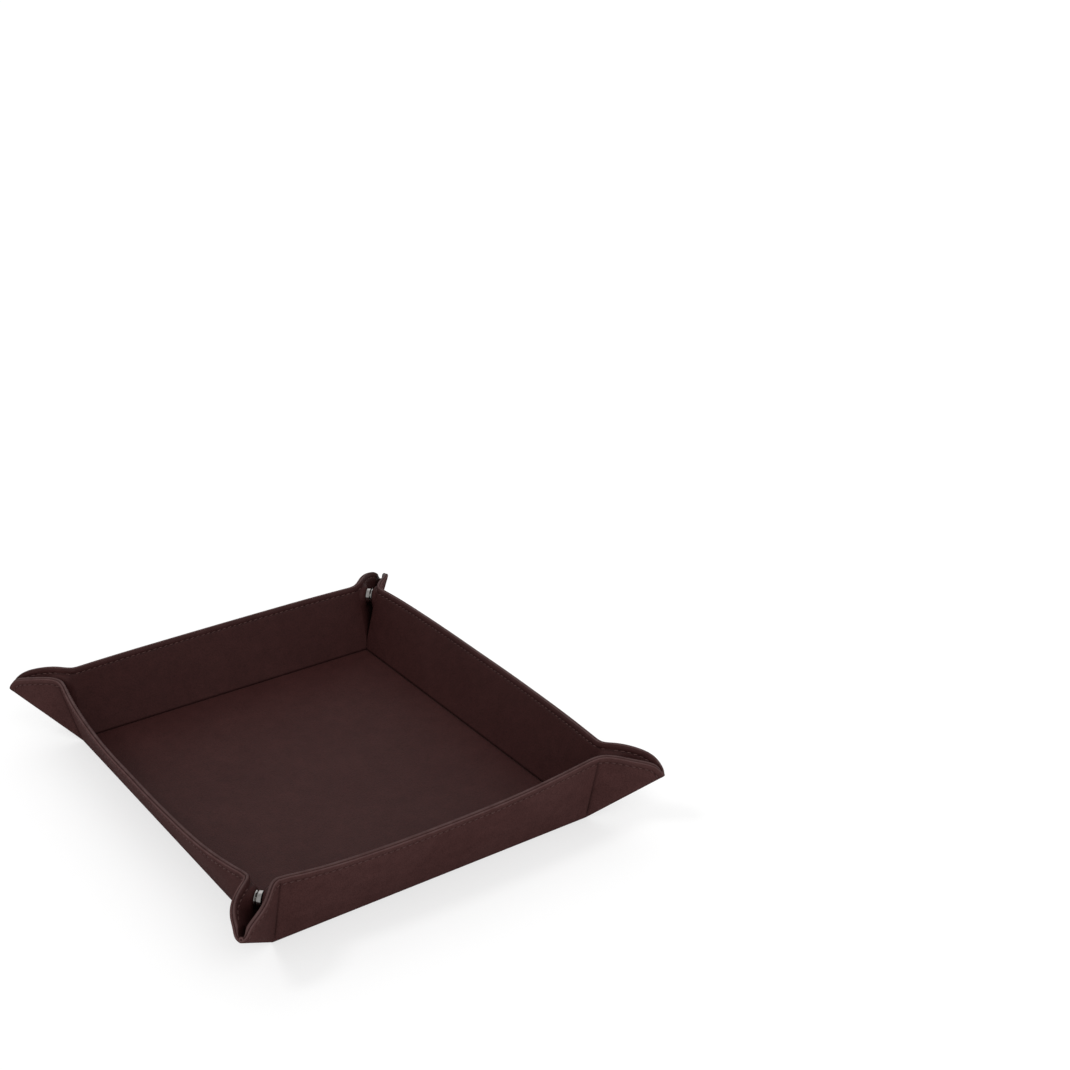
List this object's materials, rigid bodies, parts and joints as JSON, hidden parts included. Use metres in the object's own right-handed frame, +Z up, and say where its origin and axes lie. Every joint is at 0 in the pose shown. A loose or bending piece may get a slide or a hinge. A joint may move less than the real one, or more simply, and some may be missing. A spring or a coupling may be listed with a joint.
{
  "type": "valet tray",
  "caption": "Low rectangular leather tray with outward-leaning walls and corners pinched into ears by hidden press studs; it unsnaps to lie flat.",
  "frame": {"origin": "middle of the underside of the floor, on the surface the tray stands on", "axes": "+Z up out of the tray, +Y along the longer side towards the back wall, +X along the shorter side towards the right wall"},
  "size_m": [0.2358, 0.2758, 0.0412],
  "materials": {
    "outer_leather": "fine pebbled grain, dark brown, low sheen",
    "lining_leather": "fine pebbled grain, dark brown, low sheen",
    "board": "plain grey-brown board, hidden between the leathers",
    "snap_metal": "bright plated press stud",
    "spring_metal": "bare spring wire",
    "eyelet_metal": "plated eyelet, hidden between the leathers"
  },
  "bodies": {
    "floor": {"floor_outer": "outer_leather", "floor_lining": "lining_leather", "floor_board": "board"},
    "front_wall": {"front_wall_outer": "outer_leather", "front_wall_lining": "lining_leather", "front_wall_board": "board"},
    "back_wall": {"back_wall_outer": "outer_leather", "back_wall_lining": "lining_leather", "back_wall_board": "board"},
    "left_wall": {"left_wall_outer": "outer_leather", "left_wall_lining": "lining_leather", "left_wall_board": "board"},
    "right_wall": {"right_wall_outer": "outer_leather", "right_wall_lining": "lining_leather", "right_wall_board": "board"},
    "front_left_socket_leaf": {"front_left_socket_leaf_outer": "outer_leather", "front_left_socket_leaf_lining": "lining_leather", "front_left_socket_eyelet": "eyelet_metal", "front_left_snap_socket": "snap_metal", "front_left_snap_spring": "spring_metal"},
    "front_left_stud_leaf": {"front_left_stud_leaf_outer": "outer_leather", "front_left_stud_leaf_lining": "lining_leather", "front_left_stud_eyelet": "eyelet_metal", "front_left_snap_stud": "snap_metal"},
    "front_right_socket_leaf": {"front_right_socket_leaf_outer": "outer_leather", "front_right_socket_leaf_lining": "lining_leather", "front_right_socket_eyelet": "eyelet_metal", "front_right_snap_socket": "snap_metal", "front_right_snap_spring": "spring_metal"},
    "front_right_stud_leaf": {"front_right_stud_leaf_outer": "outer_leather", "front_right_stud_leaf_lining": "lining_leather", "front_right_stud_eyelet": "eyelet_metal", "front_right_snap_stud": "snap_metal"},
    "back_left_socket_leaf": {"back_left_socket_leaf_outer": "outer_leather", "back_left_socket_leaf_lining": "lining_leather", "back_left_socket_eyelet": "eyelet_metal", "back_left_snap_socket": "snap_metal", "back_left_snap_spring": "spring_metal"},
    "back_left_stud_leaf": {"back_left_stud_leaf_outer": "outer_leather", "back_left_stud_leaf_lining": "lining_leather", "back_left_stud_eyelet": "eyelet_metal", "back_left_snap_stud": "snap_metal"},
    "back_right_socket_leaf": {"back_right_socket_leaf_outer": "outer_leather", "back_right_socket_leaf_lining": "lining_leather", "back_right_socket_eyelet": "eyelet_metal", "back_right_snap_socket": "snap_metal", "back_right_snap_spring": "spring_metal"},
    "back_right_stud_leaf": {"back_right_stud_leaf_outer": "outer_leather", "back_right_stud_leaf_lining": "lining_leather", "back_right_stud_eyelet": "eyelet_metal", "back_right_snap_stud": "snap_metal"}
  },
  "joints": [
    {"name": "front_wall_fold", "type": "hinge", "parent": "floor", "child": "front_wall", "pos_m": [0, -0.109, 0.0014], "axis": [1, 0, 0], "range_deg": [0, 76.4]},
    {"name": "back_wall_fold", "type": "hinge", "parent": "floor", "child": "back_wall", "pos_m": [0, 0.109, 0.0014], "axis": [-1, 0, 0], "range_deg": [0, 76.4]},
    {"name": "left_wall_fold", "type": "hinge", "parent": "floor", "child": "left_wall", "pos_m": [-0.089, 0, 0.0014], "axis": [0, -1, 0], "range_deg": [0, 76.4]},
    {"name": "right_wall_fold", "type": "hinge", "parent": "floor", "child": "right_wall", "pos_m": [0.089, 0, 0.0014], "axis": [0, 1, 0], "range_deg": [0, 76.4]},
    {"name": "front_left_crease", "type": "hinge", "parent": "front_wall", "child": "front_left_socket_leaf", "pos_m": [-0.089, -0.109, 0.0014], "axis": [0, 0.2351, -0.972], "range_deg": [0, 36.11]},
    {"name": "front_left_ear_fold", "type": "hinge", "parent": "front_left_socket_leaf", "child": "front_left_stud_leaf", "pos_m": [-0.089, -0.109, 0.0014], "axis": [-0.5713, -0.5713, 0.5893], "range_deg": [0, 152.8]},
    {"name": "front_right_crease", "type": "hinge", "parent": "front_wall", "child": "front_right_socket_leaf", "pos_m": [0.089, -0.109, 0.0014], "axis": [0, -0.2351, 0.972], "range_deg": [0, 36.11]},
    {"name": "front_right_ear_fold", "type": "hinge", "parent": "front_right_socket_leaf", "child": "front_right_stud_leaf", "pos_m": [0.089, -0.109, 0.0014], "axis": [-0.5713, 0.5713, -0.5893], "range_deg": [0, 152.8]},
    {"name": "back_left_crease", "type": "hinge", "parent": "back_wall", "child": "back_left_socket_leaf", "pos_m": [-0.089, 0.109, 0.0014], "axis": [0, 0.2351, 0.972], "range_deg": [0, 36.11]},
    {"name": "back_left_ear_fold", "type": "hinge", "parent": "back_left_socket_leaf", "child": "back_left_stud_leaf", "pos_m": [-0.089, 0.109, 0.0014], "axis": [0.5713, -0.5713, -0.5893], "range_deg": [0, 152.8]},
    {"name": "back_right_crease", "type": "hinge", "parent": "back_wall", "child": "back_right_socket_leaf", "pos_m": [0.089, 0.109, 0.0014], "axis": [0, -0.2351, -0.972], "range_deg": [0, 36.11]},
    {"name": "back_right_ear_fold", "type": "hinge", "parent": "back_right_socket_leaf", "child": "back_right_stud_leaf", "pos_m": [0.089, 0.109, 0.0014], "axis": [0.5713, 0.5713, 0.5893], "range_deg": [0, 152.8]}
  ],
  "couplings": [
    {"joint": "back_wall_fold", "follows": "front_wall_fold", "ratio": 1},
    {"joint": "left_wall_fold", "follows": "front_wall_fold", "ratio": 1},
    {"joint": "right_wall_fold", "follows": "front_wall_fold", "ratio": 1},
    {"joint": "front_left_crease", "follows": "front_wall_fold", "ratio": 0.47261},
    {"joint": "front_left_ear_fold", "follows": "front_wall_fold", "ratio": 2},
    {"joint": "front_right_crease", "follows": "front_wall_fold", "ratio": 0.47261},
    {"joint": "front_right_ear_fold", "follows": "front_wall_fold", "ratio": 2},
    {"joint": "back_left_crease", "follows": "front_wall_fold", "ratio": 0.47261},
    {"joint": "back_left_ear_fold", "follows": "front_wall_fold", "ratio": 2},
    {"joint": "back_right_crease", "follows": "front_wall_fold", "ratio": 0.47261},
    {"joint": "back_right_ear_fold", "follows": "front_wall_fold", "ratio": 2}
  ]
}
